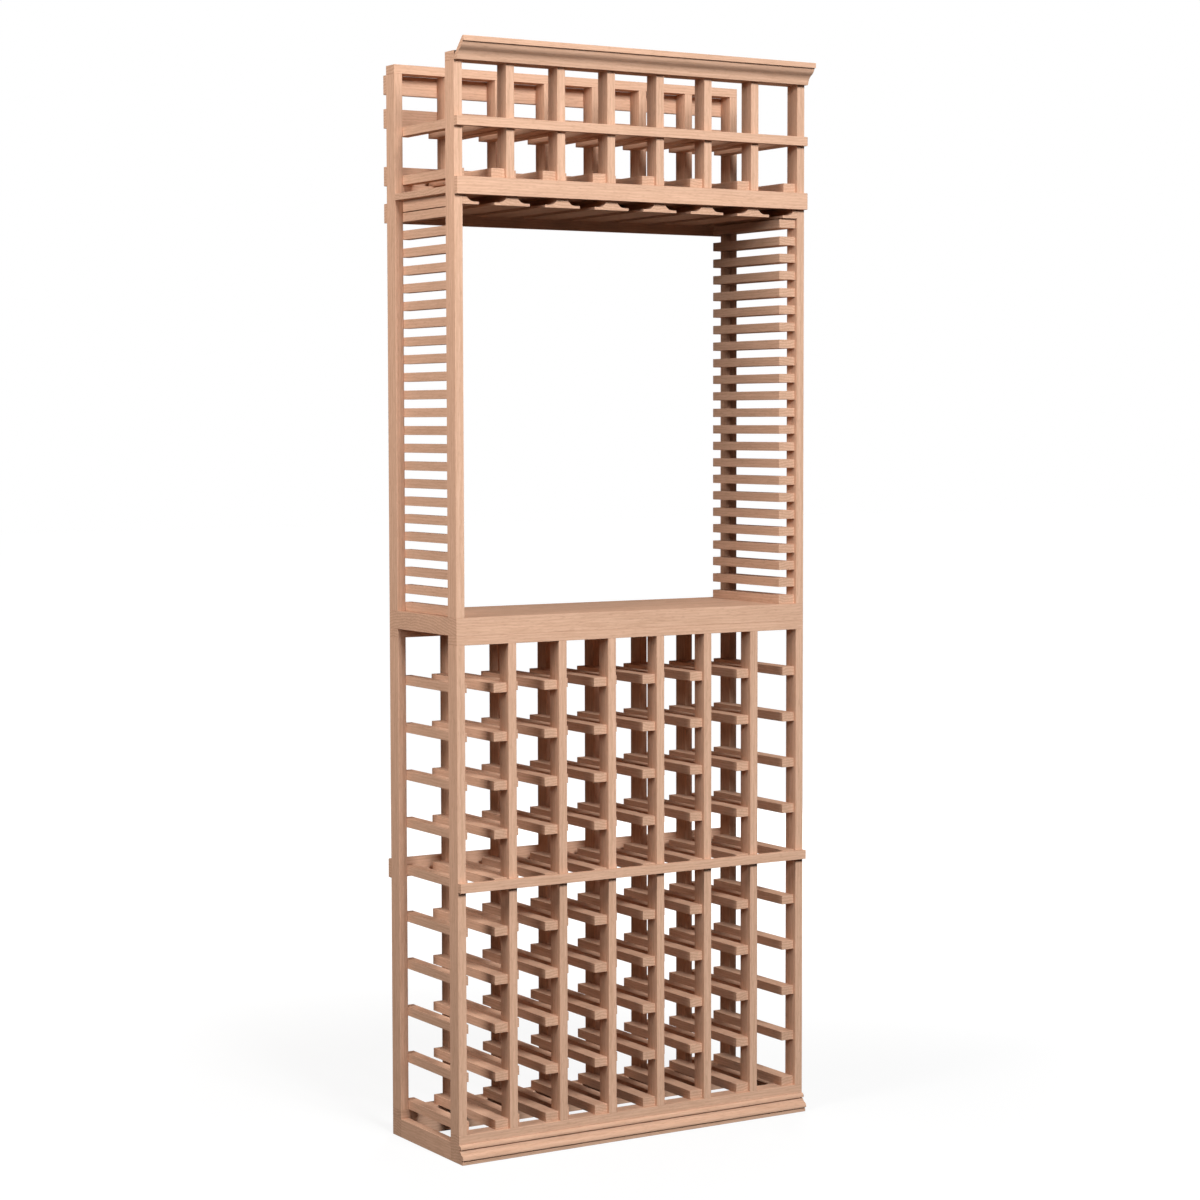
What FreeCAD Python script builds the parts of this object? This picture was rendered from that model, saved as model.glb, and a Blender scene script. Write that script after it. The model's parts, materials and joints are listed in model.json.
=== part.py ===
import FreeCAD, Part
import math
import os
import Sketcher
from types import SimpleNamespace

# Driving dimensions of the station, in millimetres
SIZES = {
    # sawn stock that posts and cross rails are cut from
    "post_width": 17.5,
    "post_depth": 35.0,
    # bottle columns
    "column_opening": 95.0,
    "rack_depth": 275.5,
    "row_pitch": 94.1,
    "rail_height": 18.0,
    "rail_setback": 7.0,
    "rail_overlap": 18.5,
    "long_rail_width": 28.5,
    "short_rail_width": 21.5,
    "short_lap": 3.0,
    # plinth and its moulding
    "beam_height": 37.0,
    "moulding_projection": 15.8,
    # table and tasting bay
    "table_thickness": 35.0,
    "bay_height": 800.8,
    "slat_height": 17.5,
    "slat_overlap": 7.0,
    "slat_clearance": 2.0,
    "long_slat_width": 38.0,
    "short_slat_width": 17.5,
    # stemware shelf and its hanging rails
    "stem_slot": 34.0,
    "stem_rail_height": 21.5,
    "stem_edge": 5.0,
    "stem_flat": 10.0,
    "cove_run": 18.0,
    "cove_radius": 18.0,
    "half_rail_width": 35.0,
    "shelf_thickness": 13.0,
    # upper rack
    "head_room": 120.6,
    # boards across the front and the back
    "strip_thickness": 12.0,
    "strip_height": 18.0,
    "strip_drop": 1.0,
    "face_board_height": 33.0,
    "face_board_lip": 4.0,
    "back_slat_height": 37.5,
    "back_slat_thickness": 12.0,
    # crown moulding
    "crown_height": 41.0,
    "crown_projection": 39.2,
    "crown_fillet": 10.0,
    "crown_step": 4.7,
    "crown_foot": 12.0,
    "crown_toe": 5.5,
    "crown_toe_lean": 1.9,
    "crown_seat": 6.5,
    "crown_lip": 5.6,
    "cyma_radius": 18.5,
    # countersunk screws of the back slats
    "screw_shank": 3.6,
    "screw_head": 7.4,
    "screw_head_depth": 2.2,
    "screw_length": 32.0,
}

# How many of each repeated piece
COLUMNS = 7
ROWS = 10
UPPER_ROWS = 2
LATTICE_SLATS = 23
LADDERS = COLUMNS + 1
STEM_RAILS = COLUMNS - 1
STRIP_ROW = 5
END_LADDERS = (0, LADDERS - 1)

# Base moulding outline, as shares of its projection and its height
MOULDING_FOOT = 0.80
MOULDING_FOOT_TOP = 0.165
QUIRK = 0.64
BEAD_START = (0.987, 0.243)
BEAD_END = (0.54, 0.52)
COVE_END = (0.24, 0.69)
GROOVE = 0.06
FILLET_PROJECTION = 0.42
FILLET_BOTTOM = 0.762
FILLET_TOP = 0.854
BEAD_RADIUS = 0.24
MOULDING_COVE_RADIUS = 0.30
TOP_ROUND_RADIUS = 0.22


class Size:
    """A length written over the sheet's cells, together with its present value."""

    def __init__(self, text, value):
        self.text = text
        self.value = value

    def __add__(self, other):
        other = as_size(other)
        return Size(f"({self.text} + {other.text})", self.value + other.value)

    def __sub__(self, other):
        other = as_size(other)
        return Size(f"({self.text} - {other.text})", self.value - other.value)

    def __mul__(self, factor):
        return Size(f"({self.text} * {factor!r})", self.value * factor)

    def __truediv__(self, divisor):
        return Size(f"({self.text} / {divisor!r})", self.value / divisor)

    def __neg__(self):
        return self * -1


def as_size(number):
    if isinstance(number, Size):
        return number
    return Size(repr(float(number)), float(number))


ZERO = as_size(0)
HALF_TURN = (FreeCAD.Vector(0, 0, 1), 180)

doc = FreeCAD.newDocument("wine_tasting_station")
sheet = doc.addObject("Spreadsheet::Sheet", "Sizes")
nodes = []


def fill_sheet():
    """Write one row per driving dimension and return the sizes by name."""
    named = {}
    for row, (alias, number) in enumerate(SIZES.items(), start=1):
        sheet.set(f"A{row}", alias)
        sheet.set(f"B{row}", str(number))
        sheet.setAlias(f"B{row}", alias)
        named[alias] = Size(f"Sizes.{alias}", number)
    doc.recompute()
    return SimpleNamespace(**named)


def bind(item, name, length):
    item.setExpression(name, as_size(length).text)


def place(item, corner, turn=None):
    """Put an item at a corner, turned about the named axis if one is given."""
    if turn:
        axis, angle = turn
        item.Placement = FreeCAD.Placement(FreeCAD.Vector(), FreeCAD.Rotation(axis, angle))
    for axis_name, coordinate in zip("xyz", corner):
        bind(item, f"Placement.Base.{axis_name}", coordinate)


def box(label, corner, extent):
    """A straight board: its lowest corner and its size along x, y and z."""
    item = doc.addObject("Part::Box", label)
    item.Label = label
    for name, length in zip(("Length", "Width", "Height"), extent):
        bind(item, name, length)
    place(item, corner)
    return item


def node(item):
    nodes.append(item)
    return item


def group(label, members):
    """Identical pieces that share one node as separate solids."""
    item = doc.addObject("Part::Compound", label)
    item.Label = label
    item.Links = members
    return item


def cut(label, base, tools):
    item = doc.addObject("Part::Cut", label)
    item.Label = label
    item.Base = base
    item.Tool = group(label + "_bores", tools)
    return item


def arc_centre(start, end, radius, bulge):
    """Centre of the arc from start to end; bulge 1 turns left on the way, -1 turns right."""
    chord = end - start
    half = chord.Length / 2
    rise = math.sqrt(radius**2 - half**2)
    normal = FreeCAD.Vector(-chord.y, chord.x, 0).normalize()
    return start + chord * 0.5 + normal * (rise * bulge)


def edge_between(start, end, radius, bulge):
    """A sketch edge, with the numbers of the ends that lie at start and at end."""
    if radius is None:
        return Part.LineSegment(start, end), 1, 2
    centre = arc_centre(start, end, radius.value, bulge)
    circle = Part.Circle(centre, FreeCAD.Vector(0, 0, 1), radius.value)
    angles = [math.atan2(point.y - centre.y, point.x - centre.x) for point in (start, end)]
    if bulge > 0:
        return Part.ArcOfCircle(circle, angles[0], angles[1]), 1, 2
    return Part.ArcOfCircle(circle, angles[1], angles[0]), 2, 1


def pin_vertex(sketch, edge, end, across, up):
    """Hold one corner of an outline at its two distances from the sketch origin."""
    for kind, axis, distance in (("DistanceX", -2, across), ("DistanceY", -1, up)):
        if distance.value == 0:
            sketch.addConstraint(Sketcher.Constraint("PointOnObject", edge, end, axis))
            continue
        number = sketch.addConstraint(
            Sketcher.Constraint(kind, -1, 1, edge, end, distance.value))
        bind(sketch, f"Constraints[{number}]", distance)


def draw_outline(sketch, corners):
    """Close an outline; a corner is (across, up) or (across, up, radius, bulge) for an arc."""
    points = [FreeCAD.Vector(corner[0].value, corner[1].value, 0) for corner in corners]
    ends = []
    for number, corner in enumerate(corners):
        radius, bulge = corner[2:] or (None, 0)
        following = points[(number + 1) % len(points)]
        edge, first, last = edge_between(points[number], following, radius, bulge)
        sketch.addGeometry(edge)
        ends.append((first, last))
    for number, corner in enumerate(corners):
        following = (number + 1) % len(corners)
        sketch.addConstraint(Sketcher.Constraint(
            "Coincident", number, ends[number][1], following, ends[following][0]))
        pin_vertex(sketch, number, ends[number][0], corner[0], corner[1])
        if len(corner) > 2:
            row = sketch.addConstraint(Sketcher.Constraint("Radius", number, corner[2].value))
            bind(sketch, f"Constraints[{row}]", corner[2])


def run_body(label, plane, corners, length, corner, turn=None, backwards=False):
    """A board of constant section: an outline on one origin plane, padded to its length."""
    body = doc.addObject("PartDesign::Body", label)
    body.Label = label
    sketch = body.newObject("Sketcher::SketchObject", label + "_outline")
    origin_plane = [item for item in body.Origin.OriginFeatures if item.Role == plane][0]
    sketch.AttachmentSupport = [(origin_plane, "")]
    sketch.MapMode = "FlatFace"
    draw_outline(sketch, corners)
    pad = body.newObject("PartDesign::Pad", label + "_pad")
    pad.Profile = sketch
    pad.Reversed = backwards
    bind(pad, "Length", length)
    place(body, corner, turn)
    return body


s = fill_sheet()

# Main lines of the station: x across, y from front to back, z up
pitch = s.column_opening + s.post_width
width = pitch * COLUMNS + s.post_width
left = -(width / 2)
right = left + width
front = (s.crown_projection - s.rack_depth - s.back_slat_thickness) / 2
back = front + s.rack_depth
rear_post = back - s.post_depth
long_front = front + s.rail_setback
short_front = front + s.post_depth - s.short_lap

rack_bottom = s.beam_height + s.post_width
rack_top = rack_bottom + s.row_pitch * ROWS
table_bottom = rack_top + s.post_width
table_top = table_bottom + s.table_thickness
shelf_bottom = table_top + s.bay_height
shelf_top = shelf_bottom + s.shelf_thickness
upper_rails = shelf_top + s.post_width
last_rails = upper_rails + s.row_pitch * (UPPER_ROWS - 1)
head = last_rails + s.head_room
stem_bottom = shelf_bottom - s.stem_rail_height


def ladder_x(ladder):
    return left + pitch * ladder


# Screws that hold the back slats: one through each end of a slat into the post there
def screw(label, x, z):
    point = (x, back + s.back_slat_thickness, z)
    turn = (FreeCAD.Vector(1, 0, 0), 90)
    shank = doc.addObject("Part::Cylinder", label + "_shank")
    bind(shank, "Radius", s.screw_shank / 2)
    bind(shank, "Height", s.screw_length)
    head_cone = doc.addObject("Part::Cone", label + "_head")
    bind(head_cone, "Radius1", s.screw_head / 2)
    bind(head_cone, "Radius2", s.screw_shank / 2)
    bind(head_cone, "Height", s.screw_head_depth)
    for piece in (shank, head_cone):
        place(piece, point, turn)
    item = doc.addObject("Part::Fuse", label)
    item.Label = label
    item.Base = shank
    item.Tool = head_cone
    return item


slat_levels = {
    "lower_back_slat": (rack_bottom + s.row_pitch * STRIP_ROW
                        + (s.rail_height - s.back_slat_height) / 2),
    "stemware_back_slat": shelf_bottom - s.face_board_lip - s.back_slat_height,
    "upper_back_slat_low": upper_rails,
    "upper_back_slat_middle": last_rails + s.rail_height,
    "upper_back_slat_high": head - s.back_slat_height,
}
upper_slats = ("upper_back_slat_low", "upper_back_slat_middle", "upper_back_slat_high")


screws = {}
for slat, level in slat_levels.items():
    for ladder in END_LADDERS:
        middle = ladder_x(ladder) + s.post_width / 2
        screws[slat, ladder] = screw(f"{slat}_screw_{ladder + 1}", middle,
                                     level + s.back_slat_height / 2)


# Back slats, bored for their screws; the three of the upper rack share a node
back_slats = {}
for slat, level in slat_levels.items():
    board = box(slat + "_board", (left, back, level),
                (width, s.back_slat_thickness, s.back_slat_height))
    back_slats[slat] = cut(slat, board, [screws[slat, ladder] for ladder in END_LADDERS])
node(back_slats["lower_back_slat"])
node(back_slats["stemware_back_slat"])
node(group("upper_back_slats", [back_slats[slat] for slat in upper_slats]))
node(group("back_slat_screws", list(screws.values())))

# Plinth: two beams, two side boards, and the flat rails that the ladders stand on
beam = (width, s.post_depth, s.beam_height)
flat_rail = (width, s.post_depth, s.post_width)
for name, y in (("front", front), ("rear", rear_post)):
    node(box(f"base_beam_{name}", (left, y, ZERO), beam))
    node(box(f"base_rail_{name}", (left, y, s.beam_height), flat_rail))
    node(box(f"lower_top_rail_{name}", (left, y, rack_top), flat_rail))
    node(box(f"upper_top_rail_{name}", (left, y, head), flat_rail))
side_board = (s.post_width, rear_post - front - s.post_depth, s.beam_height)
for name, x in (("left", left), ("right", right - s.post_width)):
    node(box(f"base_side_{name}", (x, front + s.post_depth, ZERO), side_board))


# Base moulding: foot, quirk, bead, cove, groove, fillet and rounded top, from the floor up
def base_moulding():
    def at(across, up):
        return s.moulding_projection * across, s.beam_height * up

    foot, foot_top = at(MOULDING_FOOT, MOULDING_FOOT_TOP)
    bead, bead_bottom = at(*BEAD_START)
    cove, cove_top = at(*COVE_END)
    fillet, fillet_bottom = at(FILLET_PROJECTION, FILLET_BOTTOM)
    quirk = s.moulding_projection * QUIRK
    groove = s.moulding_projection * GROOVE
    corners = [
        (ZERO, ZERO),
        (foot, ZERO),
        (foot, foot_top),
        (quirk, foot_top),
        (quirk, bead_bottom),
        (bead, bead_bottom, s.beam_height * BEAD_RADIUS, 1),
        (*at(*BEAD_END), s.beam_height * MOULDING_COVE_RADIUS, -1),
        (cove, cove_top),
        (groove, cove_top),
        (groove, fillet_bottom),
        (fillet, fillet_bottom),
        (fillet, s.beam_height * FILLET_TOP, s.beam_height * TOP_ROUND_RADIUS, 1),
        (ZERO, s.beam_height),
    ]
    return run_body("base_moulding", "YZ_Plane", corners, width, (right, front, ZERO), HALF_TURN)


node(base_moulding())

# Lower ladders: a front and a rear post, with bottle rails on the sides that face a column
post_height = rack_top - rack_bottom


def long_stick(label, ladder, level, stick_width, height, overlap):
    """A stick on a ladder's left face, from near the front down to its lap on the rear post."""
    return box(label, (ladder_x(ladder) - stick_width, long_front, level),
               (stick_width, rear_post + overlap - long_front, height))


def short_stick(label, ladder, level, stick_width, height, overlap):
    """A stick on a ladder's right face that starts behind the front post."""
    return box(label, (ladder_x(ladder) + s.post_width, short_front, level),
               (stick_width, rear_post + overlap - short_front, height))


def bottle_rails(label, ladder, first_level, rows):
    rails = []
    for row in range(rows):
        level = first_level + s.row_pitch * row
        if ladder > 0:
            rails.append(long_stick(f"{label}_long_{row + 1}", ladder, level,
                                    s.long_rail_width, s.rail_height, s.rail_overlap))
        if ladder < COLUMNS:
            rails.append(short_stick(f"{label}_short_{row + 1}", ladder, level,
                                     s.short_rail_width, s.rail_height, s.rail_overlap))
    return rails


def post(label, ladder, y, bottom, height):
    return box(label, (ladder_x(ladder), y, bottom), (s.post_width, s.post_depth, height))


def bored_post(label, ladder, bottom, height, slats):
    """Rear post of a ladder, bored for the screws that reach it from the back slats."""
    bores = [screws[slat, ladder] for slat in slats if (slat, ladder) in screws]
    if not bores:
        return post(label, ladder, rear_post, bottom, height)
    return cut(label, post(label + "_blank", ladder, rear_post, bottom, height), bores)


def post_pair(label, ladder, bottom, height, slats=()):
    """Front and rear post of one ladder, which share a node."""
    return group(label + "_posts", [
        post(label + "_front_post", ladder, front, bottom, height),
        bored_post(label + "_rear_post", ladder, bottom, height, slats),
    ])


for ladder in range(LADDERS):
    stem = f"lower_ladder_{ladder + 1}"
    node(post_pair(stem, ladder, rack_bottom, post_height, ["lower_back_slat"]))
    node(group(stem + "_rails", bottle_rails(stem + "_rail", ladder, rack_bottom, ROWS)))

# Table over the lower rack, and the four corner posts that stand on it
node(box("table_top", (left, front, table_bottom), (width, s.rack_depth, s.table_thickness)))
corner_slats = ("stemware_back_slat", *upper_slats)
corner_height = head - table_top
for ladder, side in zip(END_LADDERS, ("left", "right")):
    node(post(f"corner_post_front_{side}", ladder, front, table_top, corner_height))
    node(bored_post(f"corner_post_rear_{side}", ladder, table_top, corner_height, corner_slats))

# Lattice slats on the inner faces of the corner posts
slat_pitch = (s.bay_height - s.stem_rail_height - s.slat_clearance - s.slat_height) / (
    LATTICE_SLATS - 1)
lattices = (
    ("left", short_stick, END_LADDERS[0], s.short_slat_width),
    ("right", long_stick, END_LADDERS[1], s.long_slat_width),
)
for side, stick, ladder, slat_width in lattices:
    slats = [stick(f"lattice_{side}_{number + 1}", ladder, table_top + slat_pitch * number,
                   slat_width, s.slat_height, s.slat_overlap)
             for number in range(LATTICE_SLATS)]
    node(group(f"lattice_slats_{side}", slats))

# Stemware shelf, notched round the corner posts
far_x = width - s.post_width
far_y = s.rack_depth - s.post_depth
shelf_outline = [
    (s.post_width, ZERO), (far_x, ZERO), (far_x, s.post_depth), (width, s.post_depth),
    (width, far_y), (far_x, far_y), (far_x, s.rack_depth), (s.post_width, s.rack_depth),
    (s.post_width, far_y), (ZERO, far_y), (ZERO, s.post_depth), (s.post_width, s.post_depth),
]
node(run_body("stemware_shelf", "XY_Plane", shelf_outline, s.shelf_thickness,
              (left, front, shelf_bottom)))

# Hanging rails: a tee with a cove on each flange, and a half tee against each side
inner_width = width - s.post_width * 2
flange = (inner_width - s.half_rail_width * 2 - s.stem_slot * COLUMNS) / STEM_RAILS


def right_flange(tip, neck):
    """Outline of a flange from its lower tip up its cove to the neck."""
    return [
        (tip, ZERO),
        (tip, s.stem_edge),
        (tip - s.stem_flat, s.stem_edge, s.cove_radius, -1),
        (neck, s.stem_rail_height),
    ]


def stem_rail(label, x):
    inset = s.stem_flat + s.cove_run
    corners = [(ZERO, ZERO)] + right_flange(flange, flange - inset) + [
        (inset, s.stem_rail_height, s.cove_radius, -1),
        (s.stem_flat, s.stem_edge),
        (ZERO, s.stem_edge),
    ]
    return run_body(label, "XZ_Plane", corners, s.rack_depth, (x, front, stem_bottom),
                    backwards=True)


def half_stem_rail(label, corner, turn=None):
    tip = s.half_rail_width
    corners = [(ZERO, ZERO)] + right_flange(tip, tip - s.stem_flat - s.cove_run) + [
        (ZERO, s.stem_rail_height)]
    return run_body(label, "XZ_Plane", corners, s.rack_depth, corner, turn, backwards=True)


first_rail = left + s.post_width + s.half_rail_width + s.stem_slot
for number in range(STEM_RAILS):
    node(stem_rail(f"stem_rail_{number + 1}", first_rail + (flange + s.stem_slot) * number))
node(half_stem_rail("stem_half_rail_left", (left + s.post_width, front, stem_bottom)))
node(half_stem_rail("stem_half_rail_right", (right - s.post_width, back, stem_bottom),
                    HALF_TURN))

# Upper rack: flat rails on the shelf, inner posts on those, and two rows of bottle rails
upper_base_rail = (inner_width, s.post_depth, s.post_width)
node(group("upper_base_rails", [
    box(f"upper_base_rail_{name}", (left + s.post_width, y, shelf_top), upper_base_rail)
    for name, y in (("front", front), ("rear", rear_post))
]))
for ladder in range(1, COLUMNS):
    node(post_pair(f"upper_ladder_{ladder + 1}", ladder, upper_rails, head - upper_rails))
for row in range(UPPER_ROWS):
    level = upper_rails + s.row_pitch * row
    rails = [rail for ladder in range(LADDERS)
             for rail in bottle_rails(f"upper_row_{row + 1}_ladder_{ladder + 1}", ladder, level, 1)]
    node(group(f"upper_rails_row_{row + 1}", rails))

# Strips and face board across the post fronts
front_boards = {
    "lower_front_strip": (rack_bottom + s.row_pitch * STRIP_ROW - s.strip_drop, s.strip_height),
    "upper_front_strip": (last_rails - s.strip_drop, s.strip_height),
    "stemware_face_board": (shelf_bottom - s.face_board_lip, s.face_board_height),
}
for label, (level, height) in front_boards.items():
    node(box(label, (left, front - s.strip_thickness, level),
             (width, s.strip_thickness, height)))


# Crown moulding: a sprung board with a toe, a cyma, a step and a top fillet
def crown_moulding():
    shoulder = s.crown_projection - s.crown_step
    shoulder_height = s.crown_height - s.crown_fillet
    toe = s.crown_foot + s.crown_toe_lean
    middle = ((shoulder + toe) / 2, (shoulder_height + s.crown_toe) / 2)
    corners = [
        (ZERO, ZERO),
        (s.crown_foot, ZERO),
        (toe, s.crown_toe, s.cyma_radius, -1),
        (*middle, s.cyma_radius, 1),
        (shoulder, shoulder_height),
        (s.crown_projection, shoulder_height),
        (s.crown_projection, s.crown_height),
        (s.crown_projection - s.crown_lip, s.crown_height),
        (ZERO, s.crown_seat),
    ]
    return run_body("crown_moulding", "YZ_Plane", corners, width, (right, front, head), HALF_TURN)


node(crown_moulding())

# Check every object and every shape before anything is written
doc.recompute()
failed = [item.Label for item in doc.Objects
          if "Invalid" in item.State or "Error" in item.State]
failed += [item.Label for item in nodes if item.Shape.isNull() or not item.Shape.isValid()]
if failed:
    raise RuntimeError(f"failed objects: {failed}")

os.makedirs("parts", exist_ok=True)
for item in nodes:
    item.Shape.exportStep(f"parts/{item.Label}.step")
    print(item.Label, len(item.Shape.Solids), round(item.Shape.Volume))
print(len(nodes), "nodes")
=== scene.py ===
"""Looks of the wine tasting station: sawn boards with eased edges, in a pale pinkish wood."""

import json
import math
import random

import bmesh
import bpy
from mathutils import Matrix, Vector


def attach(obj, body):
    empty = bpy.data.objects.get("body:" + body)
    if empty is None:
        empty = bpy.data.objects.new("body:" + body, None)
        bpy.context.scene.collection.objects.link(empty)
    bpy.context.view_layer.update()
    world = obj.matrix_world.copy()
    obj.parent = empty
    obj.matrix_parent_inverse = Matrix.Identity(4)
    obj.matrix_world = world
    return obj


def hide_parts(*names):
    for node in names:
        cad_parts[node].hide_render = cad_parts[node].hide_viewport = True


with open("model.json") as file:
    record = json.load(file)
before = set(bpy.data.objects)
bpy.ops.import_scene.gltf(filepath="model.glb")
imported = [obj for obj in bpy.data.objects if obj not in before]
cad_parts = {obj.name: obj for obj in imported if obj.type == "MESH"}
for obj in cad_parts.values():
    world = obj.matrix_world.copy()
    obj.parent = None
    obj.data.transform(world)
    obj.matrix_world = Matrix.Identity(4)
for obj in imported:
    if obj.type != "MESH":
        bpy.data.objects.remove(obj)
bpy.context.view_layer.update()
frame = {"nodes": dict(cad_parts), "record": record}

ROOT = "root"

# Camera that took the photograph: metres, degrees, and millimetres for the lens and the sensor
CAMERA_PLACE = (-2.93535, -4.76023, 1.41624)
CAMERA_YAW = 31.592
CAMERA_PITCH = 3.623
CAMERA_ROLL = -0.114
CAMERA_REACH = 100
LENS = 83.935
SENSOR = 36.0

# Edges of the boards: lengths in metres
EDGE_EASE = 0.0006
EASE_STEPS = 2
EASE_ROUNDNESS = 0.5
SHORTEST_EASED_EDGE = 0.005
WELD = 1e-6
FLAT = math.radians(0.05)
SHARP = math.radians(30)
SMOOTH = math.radians(15)

# Which way the grain runs in each of the record's wood slots
GRAIN_AXIS = {"wood_across": 0, "wood_through": 1, "wood_upright": 2}

# Where a board lay in its log: the pith's distance in metres, its least distance in widths of the
# board, its direction in radians seen along the grain, and the board's place along the log
PITH_NEAR = 0.10
PITH_FAR = 0.30
PITH_PER_WIDTH = 2.2
PITH_LEAN = {
    "wood_across": (1.40, 1.74),
    "wood_through": (1.40, 1.74),
    "wood_upright": (0.35, 1.20),
}
GRAIN_SPREAD = 20.0
END_FACE = 0.9

# Wood colours, linear
EARLY_WOOD = (0.690, 0.430, 0.300, 1)
LATE_WOOD = (0.540, 0.318, 0.210, 1)
PORE = (0.36, 0.20, 0.125, 1)

# Figure of the wood: lengths in metres, and noise in cells per metre along and across the grain
RING_WIDTH = 0.0056
LATE_RISE = (0.15, 0.88)
LATE_FALL = (0.90, 1.0)
SWAY = 0.004
SWAY_CELLS = (4, 12, 12)
RIPPLE = 0.003
RIPPLE_CELLS = (36, 55, 55)
FIBRE_CELLS = (14, 230, 230)
FIBRE_DETAIL = 4.0
FIBRE_HARSHNESS = 0.70
FIBRE_BAND = (0.3, 0.7)
PATCH_CELLS = (2.5, 30, 30)
PATCH_BAND = (0.25, 0.75)
PORE_CELLS = (80, 420, 420)
PORE_BAND = (0.56, 0.72)
LOW_DETAIL = 1.0

# How much of the figure shows in the colour
LATE_SHARE = 0.34
LATE_SHARE_ADDED_AT_ENDS = 0.40
FIBRE_SHARE = (-0.06, 0.68)
PORE_SHARE = 0.25
TONE_LIGHT = 0.03
PATCH_LIGHT = (0.95, 1.05)
END_LIGHT = -0.04

# Relief and sheen of the sanded surface
LATE_HEIGHT = 0.3
FIBRE_HEIGHT = 0.7
PORE_DEPTH = 0.6
RELIEF = 0.0003
RELIEF_STRENGTH = 0.25
WOOD_ROUGHNESS = (0.62, 0.74)
WOOD_SPECULAR = 0.0

# Zinc plating of the screws
ZINC_DULL = (0.52, 0.51, 0.48, 1)
ZINC_BRIGHT = (0.70, 0.69, 0.66, 1)
ZINC_CELLS = (900, 900, 900)
ZINC_DETAIL = 3.0
ZINC_BAND = (0.3, 0.7)
ZINC_ROUGHNESS = (0.28, 0.45)

# Stage: a white floor that fades into a white surround, and keeps a faint shadow
WHITE = (1, 1, 1, 1)
FLOOR_SIZE = 60.0
FLOOR_SHADE = (0.15, 0.15, 0.15, 1)
FLOOR_BOUNCE = (0.05, 0.05, 0.05, 1)
SHADOW_REACH = (0.7, 2.4)
GLOW = (0.84, 1.0)
FILL = 0.02
FILL_COLOUR = (1.0, 0.95, 0.90, 1)

# Softboxes: place and width in metres, power in watts, colour
LAMP_AIM = (0, 0, 1.1)
LAMPS = {
    "front_softbox": ((-0.5, -5.4, 4.0), 2.0, 458, (0.955, 0.985, 1.0)),
    "left_softbox": ((-3.4, -0.5, 2.6), 1.8, 103, (1.0, 0.96, 0.93)),
    "back_softbox": ((3.0, 3.6, 1.5), 2.0, 150, (1.0, 0.98, 0.96)),
}

# Sockets of a Mix node that mixes colours
MIX_FACTOR, MIX_FIRST, MIX_SECOND = 0, 6, 7
MIX_RESULT = 2


def islands(solid):
    """Vertices of each separate board in a mesh."""
    left = set(solid.verts)
    while left:
        board, front = set(), {next(iter(left))}
        while front:
            board |= front
            front = {edge.other_vert(vert) for vert in front for edge in vert.link_edges} - board
        left -= board
        yield board


def eased(mesh):
    """A copy of the CAD mesh with clean faces and its long sharp edges eased."""
    solid = bmesh.new()
    solid.from_mesh(mesh)
    bmesh.ops.remove_doubles(solid, verts=solid.verts, dist=WELD)
    bmesh.ops.dissolve_limit(solid, angle_limit=FLAT, verts=solid.verts, edges=solid.edges)
    edges = [edge for edge in solid.edges
             if edge.is_manifold and edge.calc_face_angle() > SHARP
             and edge.calc_length() > SHORTEST_EASED_EDGE]
    bmesh.ops.bevel(solid, geom=edges, offset=EDGE_EASE, segments=EASE_STEPS,
                    profile=EASE_ROUNDNESS, affect="EDGES", clamp_overlap=True)
    return solid


def lay_grain(solid, slot, dice):
    """Give each board its own place in the log, with the grain along the axis of its slot."""
    axis = GRAIN_AXIS[slot]
    sides = [i for i in range(3) if i != axis]
    grain = solid.verts.layers.float_vector.new("grain")
    tone = solid.verts.layers.float.new("tone")
    end = solid.loops.layers.float.new("end")
    solid.normal_update()
    for face in solid.faces:
        for corner in face.loops:
            corner[end] = float(abs(face.normal[axis]) > END_FACE)
    boards = sorted(islands(solid), key=lambda board: min(tuple(vert.co) for vert in board))
    for board in boards:
        points = [vert.co for vert in board]
        centre = Vector([(min(p[i] for p in points) + max(p[i] for p in points)) / 2
                         for i in range(3)])
        widest = max(2 * max(p[i] - centre[i] for p in points) for i in sides)
        slide = dice.uniform(-GRAIN_SPREAD, GRAIN_SPREAD)
        turn = dice.randrange(2) * math.pi + dice.uniform(*PITH_LEAN[slot])
        reach = max(dice.uniform(PITH_NEAR, PITH_FAR), PITH_PER_WIDTH * widest)
        pith = reach * Vector((math.cos(turn), math.sin(turn)))
        shade = dice.uniform(-1, 1)
        for vert in board:
            local = vert.co - centre
            across = [local[i] for i in sides]
            vert[grain] = (local[axis] + slide, across[0] + pith.x, across[1] + pith.y)
            vert[tone] = shade


def dress(name, slot, material):
    """Boards with eased edges and their own grain, shown in place of a CAD node."""
    solid = eased(frame["nodes"][name].data)
    lay_grain(solid, slot, random.Random(name))
    mesh = bpy.data.meshes.new(name + "_wood")
    solid.to_mesh(mesh)
    solid.free()
    mesh.shade_smooth()
    mesh.set_sharp_from_angle(angle=SMOOTH)
    mesh.materials.append(material)
    piece = bpy.data.objects.new(name + "_wood", mesh)
    bpy.context.scene.collection.objects.link(piece)
    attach(piece, ROOT)
    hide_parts(name)


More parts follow.
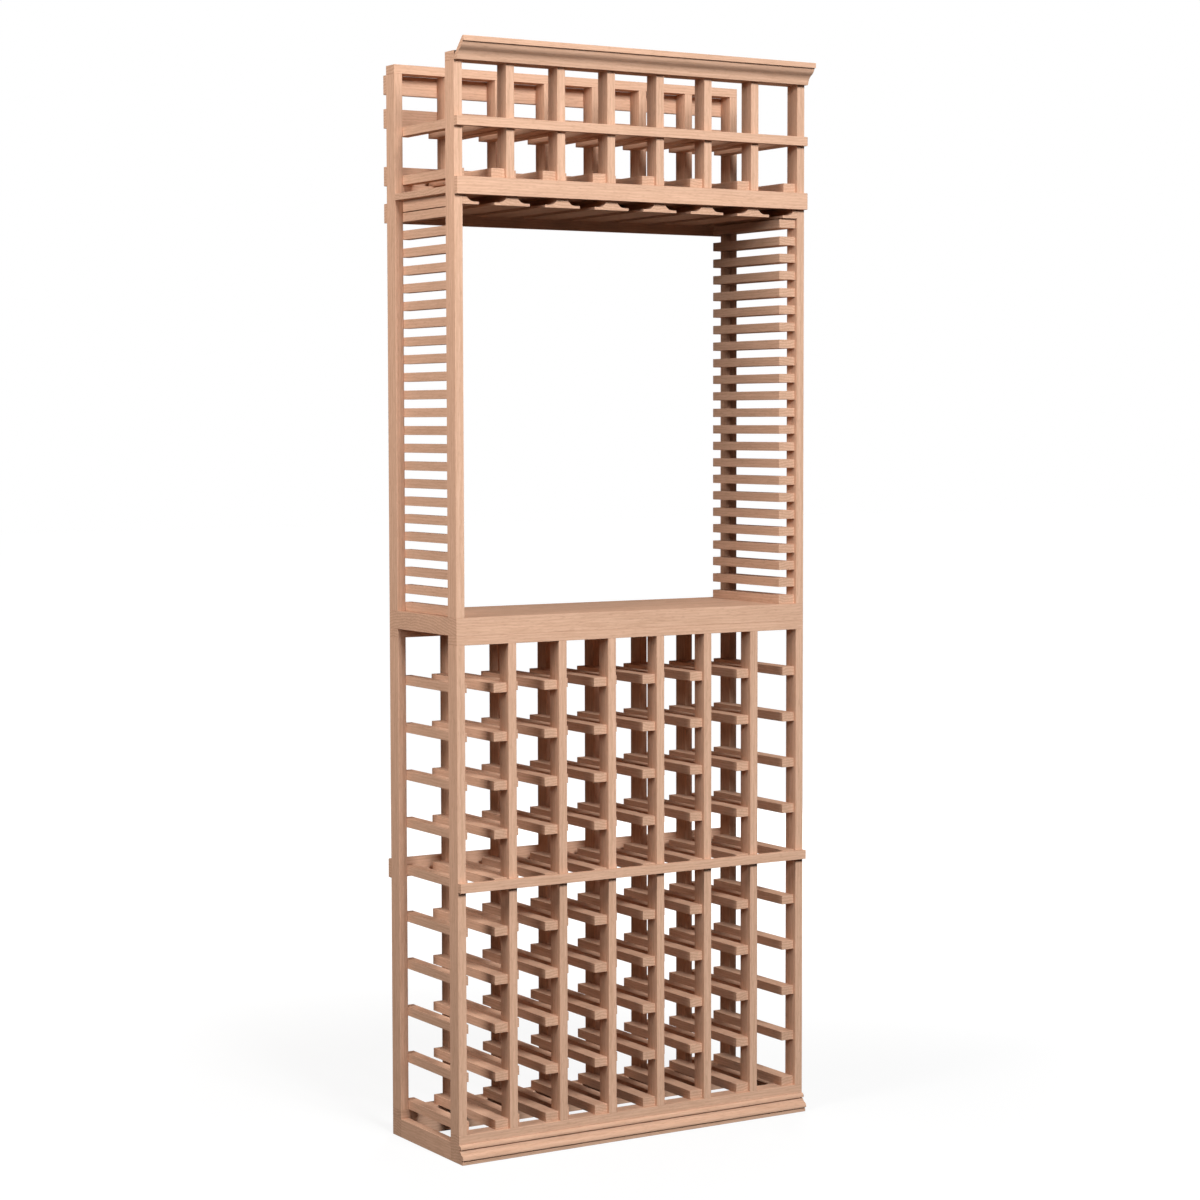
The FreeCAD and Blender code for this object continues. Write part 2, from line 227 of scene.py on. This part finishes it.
class Nodes:
    """Shorthand for building a node tree."""

    def __init__(self, tree):
        self.tree = tree
        tree.nodes.clear()

    def add(self, kind, inputs=None, **settings):
        made = self.tree.nodes.new(kind)
        for key, value in settings.items():
            setattr(made, key, value)
        for key, value in (inputs or {}).items():
            self.feed(made.inputs[key], value)
        return made

    def feed(self, socket, value):
        if isinstance(value, bpy.types.NodeSocket):
            self.tree.links.new(value, socket)
        else:
            socket.default_value = value

    def math(self, operation, *values, clamp=False):
        made = self.add("ShaderNodeMath", operation=operation, use_clamp=clamp)
        for socket, value in zip(made.inputs, values):
            self.feed(socket, value)
        return made.outputs[0]

    def mix(self, factor, first, second, blend="MIX"):
        made = self.add("ShaderNodeMix", data_type="RGBA", blend_type=blend)
        for key, value in ((MIX_FACTOR, factor), (MIX_FIRST, first), (MIX_SECOND, second)):
            self.feed(made.inputs[key], value)
        return made.outputs[MIX_RESULT]

    def remap(self, value, low, high, to_low=0.0, to_high=1.0, smooth=False):
        made = self.add("ShaderNodeMapRange", clamp=True)
        made.interpolation_type = "SMOOTHSTEP" if smooth else "LINEAR"
        for socket, number in zip(made.inputs, (value, low, high, to_low, to_high)):
            self.feed(socket, number)
        return made.outputs[0]

    def noise(self, vector, cells, detail=2.0, roughness=0.5):
        """Noise with its own number of cells per metre along each axis of the vector."""
        scaled = self.add("ShaderNodeVectorMath", {0: vector, 1: cells}, operation="MULTIPLY")
        made = self.add("ShaderNodeTexNoise", noise_dimensions="3D")
        self.feed(made.inputs["Vector"], scaled.outputs[0])
        made.inputs["Scale"].default_value = 1.0
        made.inputs["Detail"].default_value = detail
        made.inputs["Roughness"].default_value = roughness
        return made.outputs["Fac"]

    def swing(self, noise, size):
        """Noise as a swing of up to the size either way."""
        return self.math("MULTIPLY_ADD", noise, 2 * size, -size)


def blank_material(name):
    """A new material, and its empty node tree."""
    material = bpy.data.materials.new(name)
    material.use_nodes = True
    return material, Nodes(material.node_tree)


def wood_material():
    """Growth rings round a pith, with fibres and pores drawn out along the grain."""
    material, n = blank_material("pale_wood")
    grain = n.add("ShaderNodeAttribute", attribute_name="grain").outputs["Vector"]
    tone = n.add("ShaderNodeAttribute", attribute_name="tone").outputs["Fac"]
    end = n.add("ShaderNodeAttribute", attribute_name="end").outputs["Fac"]
    parts = n.add("ShaderNodeSeparateXYZ", {0: grain}).outputs
    squares = [n.math("MULTIPLY", parts[side], parts[side]) for side in ("Y", "Z")]
    radius = n.math("SQRT", n.math("ADD", *squares))

    sway = n.swing(n.noise(grain, SWAY_CELLS), SWAY)
    ripple = n.swing(n.noise(grain, RIPPLE_CELLS, LOW_DETAIL), RIPPLE)
    wavy = n.math("ADD", radius, n.math("ADD", sway, ripple))
    ring = n.math("FRACT", n.math("DIVIDE", wavy, RING_WIDTH))
    late = n.math("MULTIPLY", n.remap(ring, *LATE_RISE, smooth=True),
                  n.remap(ring, *LATE_FALL, 1.0, 0.0, smooth=True))
    fibre = n.noise(grain, FIBRE_CELLS, FIBRE_DETAIL, FIBRE_HARSHNESS)
    patch = n.noise(grain, PATCH_CELLS)
    pore = n.remap(n.noise(grain, PORE_CELLS, LOW_DETAIL), *PORE_BAND)

    late_share = n.math("MULTIPLY_ADD", end, LATE_SHARE_ADDED_AT_ENDS, LATE_SHARE)
    figure = n.math("MULTIPLY_ADD", late, late_share, n.remap(fibre, *FIBRE_BAND, *FIBRE_SHARE))
    colour = n.mix(figure, EARLY_WOOD, LATE_WOOD)
    colour = n.mix(n.math("MULTIPLY", pore, PORE_SHARE), colour, PORE)
    light = n.math("MULTIPLY_ADD", tone, TONE_LIGHT, n.remap(patch, *PATCH_BAND, *PATCH_LIGHT))
    light = n.math("MULTIPLY", light, n.math("MULTIPLY_ADD", end, END_LIGHT, 1.0))
    grey = n.add("ShaderNodeCombineXYZ", {0: light, 1: light, 2: light}).outputs[0]
    colour = n.mix(1.0, colour, grey, blend="MULTIPLY")

    raised = n.math("MULTIPLY_ADD", late, LATE_HEIGHT, n.math("MULTIPLY", fibre, FIBRE_HEIGHT))
    height = n.math("SUBTRACT", raised, n.math("MULTIPLY", pore, PORE_DEPTH))
    bump = n.add("ShaderNodeBump",
                 {"Strength": RELIEF_STRENGTH, "Distance": RELIEF, "Height": height})
    shader = n.add("ShaderNodeBsdfPrincipled", {
        "Base Color": colour,
        "Roughness": n.remap(fibre, *FIBRE_BAND, *WOOD_ROUGHNESS),
        "Specular IOR Level": WOOD_SPECULAR,
        "Normal": bump.outputs[0],
    })
    n.add("ShaderNodeOutputMaterial", {"Surface": shader.outputs[0]})
    return material


def zinc_material():
    """Zinc-plated steel, with the faint cloudiness of the plating."""
    material, n = blank_material("zinc_plated_steel")
    place = n.add("ShaderNodeTexCoord").outputs["Object"]
    cloud = n.noise(place, ZINC_CELLS, ZINC_DETAIL)
    shader = n.add("ShaderNodeBsdfPrincipled", {
        "Base Color": n.mix(cloud, ZINC_DULL, ZINC_BRIGHT),
        "Metallic": 1.0,
        "Roughness": n.remap(cloud, *ZINC_BAND, *ZINC_ROUGHNESS),
    })
    n.add("ShaderNodeOutputMaterial", {"Surface": shader.outputs[0]})
    return material


def seen_directly(n):
    """1 for rays from the camera, and for what mirrors and glass show of the stage."""
    path = n.add("ShaderNodeLightPath").outputs
    rays = n.math("ADD", path["Is Camera Ray"], path["Is Glossy Ray"])
    return n.math("ADD", rays, path["Is Transmission Ray"], clamp=True)


def floor():
    """A floor that looks white with a shadow on it, and throws little light back."""
    mesh = bpy.data.meshes.new("floor")
    half = FLOOR_SIZE / 2
    corners = [(-half, -half, 0), (half, -half, 0), (half, half, 0), (-half, half, 0)]
    mesh.from_pydata(corners, [], [(0, 1, 2, 3)])
    material, n = blank_material("white_floor")
    place = n.add("ShaderNodeTexCoord").outputs["Object"]
    reach = n.add("ShaderNodeVectorMath", {0: place}, operation="LENGTH").outputs["Value"]
    strength = n.remap(reach, *SHADOW_REACH, *GLOW, smooth=True)
    glow = n.add("ShaderNodeEmission", {"Color": WHITE, "Strength": strength}).outputs[0]
    matt = n.add("ShaderNodeBsdfDiffuse", {"Color": FLOOR_SHADE}).outputs[0]
    dim = n.add("ShaderNodeBsdfDiffuse", {"Color": FLOOR_BOUNCE}).outputs[0]
    shown = n.add("ShaderNodeAddShader", {0: matt, 1: glow}).outputs[0]
    both = n.add("ShaderNodeMixShader", {0: seen_directly(n), 1: dim, 2: shown}).outputs[0]
    n.add("ShaderNodeOutputMaterial", {"Surface": both})
    mesh.materials.append(material)
    plane = bpy.data.objects.new("floor", mesh)
    bpy.context.scene.collection.objects.link(plane)


def surround():
    """A world that looks white and lights the part only faintly."""
    world = bpy.data.worlds.new("studio")
    bpy.context.scene.world = world
    world.use_nodes = True
    n = Nodes(world.node_tree)
    fill = n.add("ShaderNodeBackground", {"Color": FILL_COLOUR, "Strength": FILL}).outputs[0]
    white = n.add("ShaderNodeBackground", {"Color": WHITE, "Strength": 1.0}).outputs[0]
    both = n.add("ShaderNodeMixShader", {0: seen_directly(n), 1: fill, 2: white}).outputs[0]
    n.add("ShaderNodeOutputWorld", {"Surface": both})


def lamp(name, place, size, power, colour):
    """A round softbox that faces the middle of the station."""
    light = bpy.data.lights.new(name, "AREA")
    light.shape = "DISK"
    light.size = size
    light.energy = power
    light.color = colour
    item = bpy.data.objects.new(name, light)
    bpy.context.scene.collection.objects.link(item)
    item.location = place
    item.rotation_mode = "QUATERNION"
    item.rotation_quaternion = (Vector(LAMP_AIM) - Vector(place)).to_track_quat("-Z", "Y")


def camera():
    """The camera of the photograph."""
    data = bpy.data.cameras.new("photo_camera")
    data.lens = LENS
    data.sensor_width = SENSOR
    data.clip_end = CAMERA_REACH
    item = bpy.data.objects.new("photo_camera", data)
    bpy.context.scene.collection.objects.link(item)
    yaw, pitch, roll = map(math.radians, (CAMERA_YAW, CAMERA_PITCH, CAMERA_ROLL))
    turn = (Matrix.Rotation(-yaw, 4, "Z") @ Matrix.Rotation(math.pi / 2 - pitch, 4, "X")
            @ Matrix.Rotation(roll, 4, "Z"))
    item.matrix_world = Matrix.Translation(CAMERA_PLACE) @ turn
    bpy.context.scene.camera = item


wood = wood_material()
for row in frame["record"]["subparts"]:
    if row["material_slot"] in GRAIN_AXIS:
        dress(row["node"], row["material_slot"], wood)
screws = frame["nodes"]["back_slat_screws"]
screws.data.materials.clear()
screws.data.materials.append(zinc_material())

floor()
surround()
for lamp_name, settings in LAMPS.items():
    lamp(lamp_name, *settings)
camera()
bpy.context.scene.view_settings.view_transform = "Standard"
